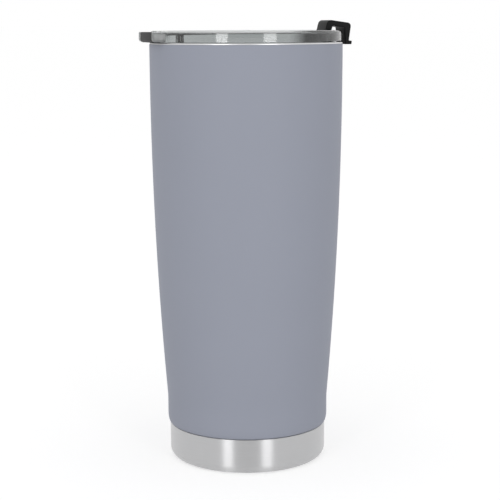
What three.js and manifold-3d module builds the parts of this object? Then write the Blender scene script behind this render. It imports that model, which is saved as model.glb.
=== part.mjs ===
// Insulated tumbler with a flip lid, in millimetres, +Z up.
// The origin is on the cup's axis, at the surface it stands on. The lid's arm runs along X,
// with its hinge at -X and the arch that its user lifts at +X.

import * as THREE from "three";
import { mergeVertices } from "three/addons/utils/BufferGeometryUtils.js";
import Module from "manifold-3d";

const wasm = await Module();
wasm.setup();

// Fineness of the round shapes
const ROUND = 48; // sides of a full circle
const SMALL_ROUND = 20; // sides of a pin, a plug or a small hole
const CORNER_STEPS = 3; // steps round a filleted corner
const WALL_STEPS = 9; // stretches along a tapered wall
const FOIL_STEPS = 6; // stretches along the foil
const BEND_STEPS = 5; // steps round a bend of a steel wall
const CORNER_SHARE = 0.48; // share of a side that one rounded corner may take
const OVERCUT = 1; // cuts and joins reach this far past a face

// Clearances
const SEAT_GAP = 0.3; // between pieces that are welded, glued or rest on each other
const PIN_GAP = 0.1; // round the hinge pin
const SLIDE_GAP = 0.3; // beside the arm and round its plugs
const TURN_GAP = 0.3; // between the turning hinge block and the lid's flat beside it

// Cup, outside
const CUP_HEIGHT = 186.7; // top edge of the coated wall
const MOUTH_R = 42.6; // outside radius at the mouth
const FOOT_R = 36.25; // outside radius where the taper ends
const TAPER_END_Z = 28; // height at which the taper ends
const TAPER_POWER = 2.1; // 1 is a plain cone, more keeps the upper wall straighter
const SHELL_WALL = 0.5; // coated outer wall
const CURL_HEIGHT = 4; // height over which the wall curls in above the bare base
const CURL_PROUD = 0.05; // lower end of the curl outside the base cap
const SPIGOT_HEIGHT = 8; // turned-in end of the wall that the base cap slides over

// Cup, inside
const VACUUM_GAP = 3.2; // between the two walls
const LINER_WALL = 0.5;
const MOUTH_WALL = 1.8; // both walls together at the mouth
const LIP_RISE = 0.4; // polished lip above the coated wall
const LIP_BAND = 0.5; // height of the thickened lip below the coated wall's edge
const NECK_DEPTH = 15; // straight bore for the lid's plug
const NECK_BLEND = 7; // height of the shoulder under that bore
const FLOOR_Z = 19; // top of the inner floor
const FLOOR_CORNER = 8; // inside corner between wall and floor

// Copper foil wrapped round the inner wall
const FOIL_WALL = 0.2;
const FOIL_MARGIN = 11; // bare wall left above the floor and below the shoulder

// Bare steel base cap
const CAP_R = 35.3;
const CAP_HEIGHT = 15.9;
const CAP_WALL = 0.6;
const CAP_CORNER = 4.2; // outside corner radius
const FOOT_RING_WIDTH = 3; // flat ring that the cup stands on
const FOOT_RECESS = 1.2; // how far the middle of the base is pressed up
const FOOT_SLOPE = 1.5; // width of the slope beside the ring

// Closing disc of the vacuum, its glass seal and its getter
const DISC_WALL = 0.6;
const DISC_RIM = 4.6; // height of its upturned rim
const DISC_CORNER = 1.5;
const DIMPLE_R = 5.5;
const DIMPLE_RISE = 1.6;
const PORT_R = 0.9; // hole through which the air was drawn out
const SEAL_R = 3.6; // bead of glass that closes the port
const GETTER_X = 17; // off the axis
const GETTER_CUP_R = 5.2;
const GETTER_CUP_HEIGHT = 2.4;
const GETTER_CUP_WALL = 0.5;
const GETTER_HEIGHT = 1.4;

// Lid
const LID_INSET = 0.5; // the lid's edge inside the mouth's outer edge
const LID_HEIGHT = 4.8; // edge of the lid, from the lip's top
const LID_EDGE = 1.1; // rounding of its outer edges
const BEAD_WIDTH = 2.7; // raised bead along the edge
const BEAD_HEIGHT = 1.4; // bead above the plate
const BEAD_EDGE = 0.5; // rounding of the bead's inner edge
const SKIRT_GAP = 3.9; // skirt's groove inside the mouth's bore
const SKIRT_WALL = 2;
const SKIRT_DEPTH = 9.6; // below the lid's plate
const RIDGE_HEIGHT = 1.9; // ridge that keeps the gasket on the skirt
const RIDGE_OUT = 1.6;
const RIDGE_EDGE = 0.4;

// Gasket
const GASKET_BODY = 2; // thickness of its band
const FIN_COUNT = 3;
const FIN_THICK = 0.8; // at its root
const FIN_TIP = 0.4;

// Arm, with its arch over the lid's edge
const ARM_WIDTH = 12;
const ARM_THICK = 1.9;
const ARM_TOP_DROP = 0.7; // top of the arm below the bead's top
const ARM_BED = 0.3; // under the arm, in its channel
const CHANNEL_PAST = 0.6; // channel's end beyond the arch's inner leg
const ARCH_HEIGHT = 5.35; // above the arm's top
const ARCH_TILT = 8; // degrees that the arch leans outwards
const ARCH_WALL = 2.3;
const ARCH_CORNER = 1.6;
const ARCH_INSIDE_CORNER = 0.5;
const INNER_LEG_WALL = 2.5;
const LEG_FOOT_WALL = 1.4; // outer leg at its foot
const LEG_LEAN = 0.5; // inside of the outer leg, nearer the lid under the bar than at its foot
const BEAD_GAP = 2.1; // inner leg to the bead
const RIM_GAP = 2.6; // foot of the outer leg to the lid's edge
const LEG_DROP = 5.9; // foot of the outer leg below the lid's top
const TAB_OUT = 1.5;
const TAB_THICK = 1.6;
const TAB_LEAN = 0.2; // top edge of the tab's end beyond its lower edge
const TAB_EDGE = 0.3;

// Hinge
const PIN_R = 0.8;
const BLOCK_WIDTH = 21.6;
const PIN_DROP = 2; // pin's axis below the block's top
const BLOCK_OUT = 1.75; // block outside the pin's axis
const BLOCK_IN = 2.1; // block inside the pin's axis
const BLOCK_HEIGHT = 4.5;
const BLOCK_RISE = 0.2; // block's top above the arm's top
const BLOCK_EDGE = 0.6;
const BLOCK_LOW_CORNER = 1.3; // lets the block turn close to the lid's edge
const BLOCK_HEEL = 1.9; // rounding under its inner side
const EAR_WIDTH = 2.4;
const EAR_OUT = 2; // ear outside the pin's axis
const EAR_ROOT = 2.4; // ear rooted in the lid's edge, inside the flat for the block
const EAR_LOW_CORNER = 1.3;
const EAR_EDGE = 0.4;

// Drinking hole and air hole
const HOLE_MARGIN = 0.9; // hole to the inside of the skirt
const HOLE_LENGTH = 12; // along the arm
const HOLE_WIDTH = 9;
const VENT_X = -22; // off the axis
const VENT_R = 1.6;
const PLUG_BELOW = 0.9; // plugs reach below the plate
const PLUG_POCKET = 1; // seat of each plug in the arm's underside
const PLUG_RIM = 1; // drinking plug's shoulder round that seat
const VENT_RIM = 0.4; // vent plug's shoulder
const PLUG_DRAFT = 0.2; // plugs are narrower by this all round at their lower end

// Places worked out from the sizes above
const LIP_TOP_Z = CUP_HEIGHT + LIP_RISE;
const BORE_R = MOUTH_R - MOUTH_WALL;
const LID_R = MOUTH_R - LID_INSET;
const LID_Z = LIP_TOP_Z + SEAT_GAP;
const LID_TOP_Z = LID_Z + LID_HEIGHT;
const PLATE_TOP_Z = LID_TOP_Z - BEAD_HEIGHT;
const ARM_TOP_Z = LID_TOP_Z - ARM_TOP_DROP;
const ARM_LOW_Z = ARM_TOP_Z - ARM_THICK;
const CHANNEL_Z = ARM_LOW_Z - ARM_BED;
const GROOVE_R = BORE_R - SKIRT_GAP;
const BLOCK_HALF = BLOCK_WIDTH / 2;
const CHORD_HALF = BLOCK_HALF + SLIDE_GAP;
const CHORD_X = -Math.sqrt(LID_R ** 2 - CHORD_HALF ** 2);
const BLOCK_TOP_Z = ARM_TOP_Z + BLOCK_RISE;
const BLOCK_LOW_Z = BLOCK_TOP_Z - BLOCK_HEIGHT;
const PIN_Z = BLOCK_TOP_Z - PIN_DROP;
const BLOCK_REACH =
  BLOCK_LOW_CORNER +
  Math.hypot(BLOCK_OUT - BLOCK_LOW_CORNER, PIN_Z - BLOCK_LOW_Z - BLOCK_LOW_CORNER);
const PIN_X = CHORD_X - BLOCK_REACH - TURN_GAP;
const SKIRT_IN_R = GROOVE_R - SKIRT_WALL;
const HOLE_X = SKIRT_IN_R - HOLE_MARGIN - HOLE_LENGTH / 2;
const SHELF_Z = CAP_HEIGHT + SEAT_GAP;
const SPIGOT_R = CAP_R - CAP_WALL - SEAT_GAP;
const DISC_Z = SHELF_Z - SPIGOT_HEIGHT + SEAT_GAP;

// Outside radius of the cup's wall at height z
function outerRadius(z) {
  const t = THREE.MathUtils.clamp((z - TAPER_END_Z) / (CUP_HEIGHT - TAPER_END_Z), 0, 1);
  return MOUTH_R - (MOUTH_R - FOOT_R) * (1 - t) ** TAPER_POWER;
}

// Inside radius of the liner, which widens over a shoulder into the straight bore of the mouth
function linerRadius(z) {
  const neckZ = CUP_HEIGHT - NECK_DEPTH;
  const wall = outerRadius(z) - SHELL_WALL - VACUUM_GAP - LINER_WALL;
  return THREE.MathUtils.lerp(wall, BORE_R, THREE.MathUtils.smoothstep(z, neckZ - NECK_BLEND, neckZ));
}

// Points [radius, height] along a wall whose radius is a function of height
function wallPoints(radiusAt, fromZ, toZ, steps) {
  return Array.from({ length: steps + 1 }, (_, i) => {
    const z = THREE.MathUtils.lerp(fromZ, toZ, i / steps);
    return [radiusAt(z), z];
  });
}

// Points of an arc, with its angles in degrees
function arcPoints(x, y, radius, fromDegrees, toDegrees, steps) {
  return Array.from({ length: steps + 1 }, (_, i) => {
    const angle = THREE.MathUtils.degToRad(THREE.MathUtils.lerp(fromDegrees, toDegrees, i / steps));
    return [x + radius * Math.cos(angle), y + radius * Math.sin(angle)];
  });
}

// Outline through corners [x, y, radius]; a corner with a radius is rounded, as far as its sides allow
function outline(corners) {
  const points = [];
  corners.forEach(([x, y, wanted = 0], i) => {
    const here = new THREE.Vector2(x, y);
    if (wanted === 0) {
      points.push(here);
      return;
    }
    const before = new THREE.Vector2(...corners.at(i - 1).slice(0, 2)).sub(here);
    const after = new THREE.Vector2(...corners[(i + 1) % corners.length].slice(0, 2)).sub(here);
    const room = CORNER_SHARE * Math.min(before.length(), after.length());
    before.normalize();
    after.normalize();
    const half = Math.acos(THREE.MathUtils.clamp(before.dot(after), -1, 1)) / 2;
    const radius = Math.min(wanted, room * Math.tan(half));
    const middle = before.clone().add(after).normalize();
    const centre = here.clone().addScaledVector(middle, radius / Math.sin(half));
    const from = here.clone().addScaledVector(before, radius / Math.tan(half)).sub(centre);
    const turn = (Math.PI - 2 * half) * Math.sign(before.cross(after)) * -1;
    for (let k = 0; k <= CORNER_STEPS; k++) {
      const spoke = from.clone().rotateAround(new THREE.Vector2(), (turn * k) / CORNER_STEPS);
      points.push(centre.clone().add(spoke));
    }
  });
  return points;
}

// Leaves only shared positions and whole triangles, with the faces pointing out
function closed(geometry) {
  const bare = geometry.clone();
  bare.deleteAttribute("normal");
  bare.deleteAttribute("uv");
  const merged = mergeVertices(bare, 1e-4);
  const index = Array.from(merged.index.array);
  const kept = [];
  const corner = [new THREE.Vector3(), new THREE.Vector3(), new THREE.Vector3()];
  let volume = 0;
  for (let i = 0; i < index.length; i += 3) {
    const [a, b, c] = index.slice(i, i + 3);
    if (a === b || b === c || c === a) continue;
    kept.push([a, b, c]);
    [a, b, c].forEach((v, k) => corner[k].fromBufferAttribute(merged.attributes.position, v));
    volume += corner[0].dot(corner[1].cross(corner[2]));
  }
  merged.setIndex(kept.flatMap(([a, b, c]) => (volume < 0 ? [a, c, b] : [a, b, c])));
  return merged;
}

// Body turned about Z from corners [radius, height, rounding]
function turned(corners, sides = ROUND) {
  const points = outline(corners);
  const onAxis = points[0].x === 0 && points.at(-1).x === 0;
  if (!onAxis) points.push(points[0].clone());
  return closed(new THREE.LatheGeometry(points, sides).rotateX(Math.PI / 2));
}

// Bar with its outline in X and Z, centred on Y = 0
function bar(points, width) {
  const shape = new THREE.Shape(points);
  const geometry = new THREE.ExtrudeGeometry(shape, { depth: width, bevelEnabled: false });
  return closed(geometry.rotateX(Math.PI / 2).translate(0, width / 2, 0));
}

// Upright column with an oval section, narrower by the draft at its lower end
function ovalColumn(x, length, width, fromZ, toZ, draft = 0) {
  const column = new THREE.CylinderGeometry(1, 1, toZ - fromZ, SMALL_ROUND);
  column.rotateX(Math.PI / 2).translate(0, 0, (fromZ + toZ) / 2);
  const position = column.attributes.position;
  for (let i = 0; i < position.count; i++) {
    const shrink = position.getZ(i) < (fromZ + toZ) / 2 ? draft : 0;
    position.setX(i, x + position.getX(i) * (length / 2 - shrink));
    position.setY(i, position.getY(i) * (width / 2 - shrink));
  }
  return closed(column);
}

function block(fromX, toX, width, fromZ, toZ) {
  const geometry = new THREE.BoxGeometry(toX - fromX, width, toZ - fromZ);
  return closed(geometry.translate((fromX + toX) / 2, 0, (fromZ + toZ) / 2));
}

function rod(x, z, radius, length) {
  return closed(new THREE.CylinderGeometry(radius, radius, length, SMALL_ROUND).translate(x, 0, z));
}

// Geometry to a solid that can be joined and cut, and back
function solid(geometry) {
  const position = geometry.attributes.position.array;
  const mesh = new wasm.Mesh({
    numProp: 3,
    vertProperties: new Float32Array(position),
    triVerts: new Uint32Array(geometry.index.array),
  });
  return new wasm.Manifold(mesh);
}

function geometryOf(manifold) {
  const mesh = manifold.getMesh();
  const geometry = new THREE.BufferGeometry();
  geometry.setAttribute("position", new THREE.BufferAttribute(new Float32Array(mesh.vertProperties), 3));
  geometry.setIndex(new THREE.BufferAttribute(new Uint32Array(mesh.triVerts), 1));
  return geometry;
}

// Outer wall: tapered, curled in above the bare base, with a spigot inside the base cap
function outerShell() {
  const curlR = CAP_R + CURL_PROUD;
  const curlTopZ = SHELF_Z + CURL_HEIGHT;
  const curl = arcPoints(0, 0, 1, -90, 0, BEND_STEPS).map(([across, up]) => [
    curlR + (FOOT_R - curlR) * across,
    curlTopZ + CURL_HEIGHT * up,
  ]);
  const inside = (z) => outerRadius(z) - SHELL_WALL;
  const spigotInside = SPIGOT_R - SHELL_WALL;
  return turned([
    [SPIGOT_R, SHELF_Z - SPIGOT_HEIGHT],
    [SPIGOT_R, SHELF_Z],
    ...curl,
    ...wallPoints(outerRadius, TAPER_END_Z, CUP_HEIGHT - SHELL_WALL / 2, WALL_STEPS),
    [MOUTH_R - SHELL_WALL / 4, CUP_HEIGHT],
    [MOUTH_R - SHELL_WALL, CUP_HEIGHT],
    ...wallPoints(inside, CUP_HEIGHT - SHELL_WALL, TAPER_END_Z, WALL_STEPS),
    [inside(curlTopZ), curlTopZ + SHELL_WALL],
    [spigotInside, SHELF_Z + SHELL_WALL],
    [spigotInside, SHELF_Z - SPIGOT_HEIGHT],
  ]);
}

// Inner wall, from the polished lip down to the rounded corner that the floor is welded into
function innerLiner() {
  const cornerZ = FLOOR_Z + FLOOR_CORNER;
  const cornerR = linerRadius(cornerZ) - FLOOR_CORNER;
  const neckZ = CUP_HEIGHT - NECK_DEPTH;
  const outside = (z) => linerRadius(z) + LINER_WALL;
  const lipR = MOUTH_R - SHELL_WALL - SEAT_GAP;
  return turned([
    ...arcPoints(cornerR, cornerZ, FLOOR_CORNER + LINER_WALL, -90, 0, BEND_STEPS),
    ...wallPoints(outside, cornerZ, neckZ - NECK_BLEND, WALL_STEPS).slice(1),
    ...wallPoints(outside, neckZ - NECK_BLEND, neckZ, BEND_STEPS).slice(1),
    [BORE_R + LINER_WALL, CUP_HEIGHT - 2 * LIP_BAND],
    [lipR, CUP_HEIGHT - LIP_BAND],
    [lipR, LIP_TOP_Z, LIP_RISE / 2],
    [BORE_R, LIP_TOP_Z, LIP_RISE / 2],
    ...wallPoints(linerRadius, neckZ, neckZ - NECK_BLEND, BEND_STEPS),
    ...wallPoints(linerRadius, neckZ - NECK_BLEND, cornerZ, WALL_STEPS).slice(1),
    ...arcPoints(cornerR, cornerZ, FLOOR_CORNER, 0, -90, BEND_STEPS).slice(1),
  ]);
}

function linerBottom() {
  const edgeR = linerRadius(FLOOR_Z + FLOOR_CORNER) - FLOOR_CORNER - SEAT_GAP;
  return turned([
    [0, FLOOR_Z - LINER_WALL],
    [edgeR, FLOOR_Z - LINER_WALL],
    [edgeR, FLOOR_Z],
    [0, FLOOR_Z],
  ]);
}

function copperFoil() {
  const inside = (z) => linerRadius(z) + LINER_WALL + SEAT_GAP;
  const outside = (z) => inside(z) + FOIL_WALL;
  const lowZ = FLOOR_Z + FLOOR_CORNER + FOIL_MARGIN;
  const highZ = CUP_HEIGHT - NECK_DEPTH - NECK_BLEND - FOIL_MARGIN;
  return turned([
    ...wallPoints(outside, lowZ, highZ, FOIL_STEPS),
    ...wallPoints(inside, highZ, lowZ, FOIL_STEPS),
  ]);
}

// Bare base: a drawn cup whose middle is pressed up, so that it stands on a flat ring
function baseCap() {
  const ringR = CAP_R - CAP_CORNER;
  const recessR = ringR - FOOT_RING_WIDTH;
  const innerCorner = CAP_CORNER - CAP_WALL;
  return turned([
    [0, FOOT_RECESS],
    [recessR - FOOT_SLOPE, FOOT_RECESS],
    [recessR, 0],
    [ringR, 0],
    ...arcPoints(ringR, CAP_CORNER, CAP_CORNER, -90, 0, BEND_STEPS).slice(1),
    [CAP_R, CAP_HEIGHT],
    [CAP_R - CAP_WALL, CAP_HEIGHT],
    ...arcPoints(ringR, CAP_CORNER, innerCorner, 0, -90, BEND_STEPS),
    [recessR + CAP_WALL / 2, CAP_WALL],
    [recessR - FOOT_SLOPE + CAP_WALL / 2, FOOT_RECESS + CAP_WALL],
    [0, FOOT_RECESS + CAP_WALL],
  ]);
}

// Disc that closes the vacuum inside the wall's spigot, with the port in its raised dimple
function vacuumBottom() {
  const rimR = SPIGOT_R - SHELL_WALL - SEAT_GAP;
  const topZ = DISC_Z + DISC_WALL;
  return turned([
    [PORT_R, DISC_Z + DIMPLE_RISE],
    [DIMPLE_R, DISC_Z + DIMPLE_RISE],
    [DIMPLE_R + DIMPLE_RISE, DISC_Z],
    [rimR, DISC_Z, DISC_CORNER],
    [rimR, DISC_Z + DISC_RIM],
    [rimR - DISC_WALL, DISC_Z + DISC_RIM],
    [rimR - DISC_WALL, topZ, DISC_CORNER - DISC_WALL],
    [DIMPLE_R + DIMPLE_RISE + DISC_WALL / 2, topZ],
    [DIMPLE_R + DISC_WALL / 2, topZ + DIMPLE_RISE],
    [PORT_R, topZ + DIMPLE_RISE],
  ]);
}

function sealBead() {
  const topZ = DISC_Z + DIMPLE_RISE - SEAT_GAP;
  const dome = arcPoints(0, 0, 1, -90, 0, BEND_STEPS).map(([across, up]) => [
    SEAL_R * across,
    topZ + (topZ - DISC_Z) * up,
  ]);
  dome[0][0] = 0;
  return turned([...dome, [0, topZ]], SMALL_ROUND);
}

function getterCup() {
  const lowZ = DISC_Z + DISC_WALL + SEAT_GAP;
  return turned(
    [
      [0, lowZ],
      [GETTER_CUP_R, lowZ],
      [GETTER_CUP_R, lowZ + GETTER_CUP_HEIGHT],
      [GETTER_CUP_R - GETTER_CUP_WALL, lowZ + GETTER_CUP_HEIGHT],
      [GETTER_CUP_R - GETTER_CUP_WALL, lowZ + GETTER_CUP_WALL],
      [0, lowZ + GETTER_CUP_WALL],
    ],
    SMALL_ROUND,
  );
}

function getter() {
  const lowZ = DISC_Z + DISC_WALL + GETTER_CUP_WALL + 2 * SEAT_GAP;
  const radius = GETTER_CUP_R - GETTER_CUP_WALL - SEAT_GAP;
  return turned(
    [
      [0, lowZ],
      [radius, lowZ],
      [radius, lowZ + GETTER_HEIGHT],
      [0, lowZ + GETTER_HEIGHT],
    ],
    SMALL_ROUND,
  );
}

// Ear that holds one end of the hinge pin, as high as the block beside it and rooted in the lid's edge
function hingeEar(side) {
  const rootX = CHORD_X + EAR_ROOT;
  const outX = PIN_X - EAR_OUT;
  const points = outline([
    [rootX, LID_Z],
    [outX, LID_Z, EAR_LOW_CORNER],
    [outX, BLOCK_TOP_Z, EAR_EDGE],
    [rootX, BLOCK_TOP_Z],
  ]);
  return bar(points, EAR_WIDTH).translate(0, side * (CHORD_HALF + EAR_WIDTH / 2), 0);
}

// Clear lid: plate with a raised bead, a skirt for the gasket, ears, channel, notch and holes
function lidBody() {
  const beadR = LID_R - BEAD_WIDTH;
  const ridgeR = GROOVE_R + RIDGE_OUT;
  const skirtZ = LID_Z - SKIRT_DEPTH;
  let body = solid(
    turned([
      [0, LID_Z],
      [SKIRT_IN_R, LID_Z],
      [SKIRT_IN_R, skirtZ],
      [ridgeR, skirtZ, RIDGE_EDGE],
      [ridgeR, skirtZ + RIDGE_HEIGHT],
      [GROOVE_R, skirtZ + RIDGE_HEIGHT],
      [GROOVE_R, LID_Z],
      [LID_R, LID_Z, LID_EDGE],
      [LID_R, LID_TOP_Z, LID_EDGE],
      [beadR, LID_TOP_Z, BEAD_EDGE],
      [beadR, PLATE_TOP_Z],
      [0, PLATE_TOP_Z],
    ]),
  );
  const edgeX = -LID_R - OVERCUT;
  const lowZ = LID_Z - OVERCUT;
  const highZ = LID_TOP_Z + OVERCUT;
  const holeTopZ = CHANNEL_Z + OVERCUT;
  const channelEndX = PLACE.innerLegOuterX + CHANNEL_PAST;
  body = body.subtract(solid(block(edgeX, CHORD_X, 2 * CHORD_HALF, lowZ, highZ)));
  body = body.add(solid(hingeEar(1))).add(solid(hingeEar(-1)));
  body = body.subtract(solid(block(edgeX, channelEndX, ARM_WIDTH + 2 * SLIDE_GAP, CHANNEL_Z, highZ)));
  body = body.subtract(solid(rod(PIN_X, PIN_Z, PIN_R + PIN_GAP, 2 * BLOCK_WIDTH)));
  body = body.subtract(solid(ovalColumn(HOLE_X, HOLE_LENGTH, HOLE_WIDTH, lowZ, holeTopZ)));
  body = body.subtract(solid(ovalColumn(VENT_X, 2 * VENT_R, 2 * VENT_R, lowZ, holeTopZ)));
  return geometryOf(body);
}

// Silicone ring in the skirt's groove, with soft fins that fill the mouth's bore
function lidGasket() {
  const inR = GROOVE_R + SEAT_GAP;
  const bandR = inR + GASKET_BODY;
  const finR = BORE_R - SEAT_GAP;
  const topZ = LID_Z - SEAT_GAP;
  const lowZ = LID_Z - SKIRT_DEPTH + RIDGE_HEIGHT + SEAT_GAP;
  const pitch = (topZ - lowZ) / FIN_COUNT;
  const fins = [];
  for (let i = 0; i < FIN_COUNT; i++) {
    const z = lowZ + pitch * i + (pitch + FIN_THICK) / 2;
    fins.push([bandR, z - FIN_THICK], [finR, z - FIN_TIP], [finR, z], [bandR, z]);
  }
  return turned([[inR, lowZ], [bandR, lowZ], ...fins, [bandR, topZ], [inR, topZ]]);
}

// Corners of the arch, whose legs and bar lean outwards by the same angle
function archPlaces() {
  const slope = Math.tan(THREE.MathUtils.degToRad(ARCH_TILT));
  const innerLegOuterX = LID_R - BEAD_WIDTH - BEAD_GAP;
  const innerLegX = innerLegOuterX - INNER_LEG_WALL;
  const topInX = innerLegX + ARCH_HEIGHT * slope;
  const topInZ = ARM_TOP_Z + ARCH_HEIGHT;
  const footInX = LID_R + RIM_GAP;
  const footZ = LID_TOP_Z - LEG_DROP;
  const footOutX = footInX + LEG_FOOT_WALL;
  const topOutX = (footOutX + (topInZ + topInX * slope - footZ) * slope) / (1 + slope ** 2);
  const topOutZ = topInZ - (topOutX - topInX) * slope;
  const underInX = topInX + INNER_LEG_WALL;
  const underInZ = topInZ - ARCH_WALL - INNER_LEG_WALL * slope;
  const underOutX = footInX - LEG_LEAN;
  const underOutZ = topOutZ - ARCH_WALL + (topOutX - underOutX) * slope;
  const tabTopX = footOutX + TAB_THICK * slope;
  return {
    footInX, footZ, footOutX, topOutX, topOutZ, topInX, topInZ, innerLegX, innerLegOuterX,
    underInX, underInZ, underOutX, underOutZ, tabTopX,
  };
}

const PLACE = archPlaces();

// Arm: hinge block, flat strap in the lid's channel, and the arch with its pull tab
function flipArm() {
  const strapRootX = PIN_X + BLOCK_IN;
  const blockOutX = PIN_X - BLOCK_OUT;
  const strap = outline([
    [PIN_X, ARM_LOW_Z],
    [PLACE.innerLegOuterX, ARM_LOW_Z],
    [PLACE.underInX, PLACE.underInZ, ARCH_INSIDE_CORNER],
    [PLACE.underOutX, PLACE.underOutZ, ARCH_INSIDE_CORNER],
    [PLACE.footInX, PLACE.footZ],
    [PLACE.footOutX + TAB_OUT, PLACE.footZ, TAB_EDGE],
    [PLACE.footOutX + TAB_OUT + TAB_LEAN, PLACE.footZ + TAB_THICK, TAB_EDGE],
    [PLACE.tabTopX, PLACE.footZ + TAB_THICK],
    [PLACE.topOutX, PLACE.topOutZ, ARCH_CORNER],
    [PLACE.topInX, PLACE.topInZ, ARCH_CORNER],
    [PLACE.innerLegX, ARM_TOP_Z],
    [PIN_X, ARM_TOP_Z],
  ]);
  const hinge = outline([
    [blockOutX, BLOCK_LOW_Z, BLOCK_LOW_CORNER],
    [strapRootX, BLOCK_LOW_Z, BLOCK_HEEL],
    [strapRootX, BLOCK_TOP_Z, BLOCK_EDGE],
    [blockOutX, BLOCK_TOP_Z, BLOCK_EDGE],
  ]);
  const lowZ = ARM_LOW_Z - OVERCUT;
  const pocketZ = ARM_LOW_Z + PLUG_POCKET;
  const ventSeat = 2 * (VENT_R - VENT_RIM);
  let arm = solid(bar(strap, ARM_WIDTH)).add(solid(bar(hinge, BLOCK_WIDTH)));
  arm = arm.subtract(solid(rod(PIN_X, PIN_Z, PIN_R + PIN_GAP, 2 * BLOCK_WIDTH)));
  const drinkPocket = ovalColumn(
    HOLE_X, HOLE_LENGTH - 2 * PLUG_RIM, HOLE_WIDTH - 2 * PLUG_RIM, lowZ, pocketZ,
  );
  const ventPocket = ovalColumn(VENT_X, ventSeat, ventSeat, lowZ, pocketZ);
  return geometryOf(arm.subtract(solid(drinkPocket)).subtract(solid(ventPocket)));
}

// Soft plug under the arm: a tapered body in the hole below a stem seated in the arm
function armPlug(x, holeLength, holeWidth, rim) {
  const bodyTopZ = ARM_LOW_Z - SEAT_GAP;
  const stemTopZ = ARM_LOW_Z + PLUG_POCKET - SEAT_GAP;
  const length = holeLength - 2 * SLIDE_GAP;
  const width = holeWidth - 2 * SLIDE_GAP;
  const body = ovalColumn(x, length, width, LID_Z - PLUG_BELOW, bodyTopZ, PLUG_DRAFT);
  const stem = ovalColumn(x, length - 2 * rim, width - 2 * rim, bodyTopZ - OVERCUT, stemTopZ);
  return geometryOf(solid(body).add(solid(stem)));
}

function drinkPlug() {
  return armPlug(HOLE_X, HOLE_LENGTH, HOLE_WIDTH, PLUG_RIM);
}

function ventPlug() {
  return armPlug(VENT_X, 2 * VENT_R, 2 * VENT_R, VENT_RIM);
}

function hingePin() {
  return rod(PIN_X, PIN_Z, PIN_R, 2 * (CHORD_HALF + EAR_WIDTH));
}

// Finishes
const finishes = {
  coat: { color: 0x979ca8, roughness: 0.75, metalness: 0 },
  steel: { color: 0xc6c8ca, roughness: 0.3, metalness: 1 },
  copper: { color: 0xb87350, roughness: 0.35, metalness: 1 },
  glassSeal: { color: 0x9fb0a8, roughness: 0.2, metalness: 0 },
  getter: { color: 0x4a4c50, roughness: 0.8, metalness: 0.4 },
  clear: { color: 0xdde2e4, roughness: 0.1, metalness: 0, transparent: true, opacity: 0.4 },
  black: { color: 0x232326, roughness: 0.45, metalness: 0 },
  silicone: { color: 0x1b1b1d, roughness: 0.7, metalness: 0 },
};

const pieces = [
  ["outer_shell", outerShell, "coat"],
  ["inner_liner", innerLiner, "steel"],
  ["liner_bottom", linerBottom, "steel"],
  ["copper_foil", copperFoil, "copper"],
  ["base_cap", baseCap, "steel"],
  ["vacuum_bottom", vacuumBottom, "steel"],
  ["seal_bead", sealBead, "glassSeal"],
  ["getter_cup", getterCup, "steel", GETTER_X],
  ["getter", getter, "getter", GETTER_X],
  ["lid_body", lidBody, "clear"],
  ["lid_gasket", lidGasket, "silicone"],
  ["flip_arm", flipArm, "black"],
  ["drink_plug", drinkPlug, "silicone"],
  ["vent_plug", ventPlug, "silicone"],
  ["hinge_pin", hingePin, "steel"],
];

const tumbler = new THREE.Group();
for (const [name, make, finish, x = 0] of pieces) {
  const mesh = new THREE.Mesh(make(), new THREE.MeshStandardMaterial(finishes[finish]));
  mesh.name = name;
  mesh.position.x = x;
  tumbler.add(mesh);
}

export default tumbler;
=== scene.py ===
# Insulated tumbler with a clear flip lid: its looks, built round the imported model.
# The file is laid out as an add-on and run as a script. +Z is up along the cup's axis. The lid's
# arm lies along X, with its hinge at -X and its arch at +X. Sections and sizes are in
# millimetres, and become metres where a mesh is made.

import math

import bmesh
import bpy
from bpy.props import FloatProperty, FloatVectorProperty, IntProperty, PointerProperty
from mathutils import Matrix, Vector


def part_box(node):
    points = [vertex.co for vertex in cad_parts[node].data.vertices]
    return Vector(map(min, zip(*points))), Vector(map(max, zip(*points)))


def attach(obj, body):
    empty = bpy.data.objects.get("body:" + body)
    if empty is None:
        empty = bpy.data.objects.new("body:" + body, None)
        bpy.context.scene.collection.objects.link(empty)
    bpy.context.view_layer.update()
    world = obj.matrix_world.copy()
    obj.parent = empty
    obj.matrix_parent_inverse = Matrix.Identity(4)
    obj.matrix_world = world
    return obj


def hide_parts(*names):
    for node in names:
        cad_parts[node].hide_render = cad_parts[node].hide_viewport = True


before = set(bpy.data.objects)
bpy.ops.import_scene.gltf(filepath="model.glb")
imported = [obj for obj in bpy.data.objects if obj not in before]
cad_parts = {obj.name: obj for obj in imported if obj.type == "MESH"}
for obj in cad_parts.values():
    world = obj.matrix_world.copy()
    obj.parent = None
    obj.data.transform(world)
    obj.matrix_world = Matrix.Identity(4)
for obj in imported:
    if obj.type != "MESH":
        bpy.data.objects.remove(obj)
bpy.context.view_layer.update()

bl_info = {
    "name": "Insulated tumbler",
    "version": (1, 0, 0),
    "blender": (4, 5, 0),
    "location": "View3D > Sidebar > Tumbler",
    "description": "Builds an insulated tumbler with a clear flip lid, piece by piece",
    "category": "Add Mesh",
}

MM = 0.001


def linear(hex_colour):
    """Linear red, green and blue of an sRGB hex colour."""
    shares = [int(hex_colour[i:i + 2], 16) / 255 for i in (1, 3, 5)]
    return [s / 12.92 if s <= 0.04045 else ((s + 0.055) / 1.055) ** 2.4 for s in shares]


def place(node):
    """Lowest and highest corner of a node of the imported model, in millimetres."""
    low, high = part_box(node)
    return low / MM, high / MM


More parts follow.
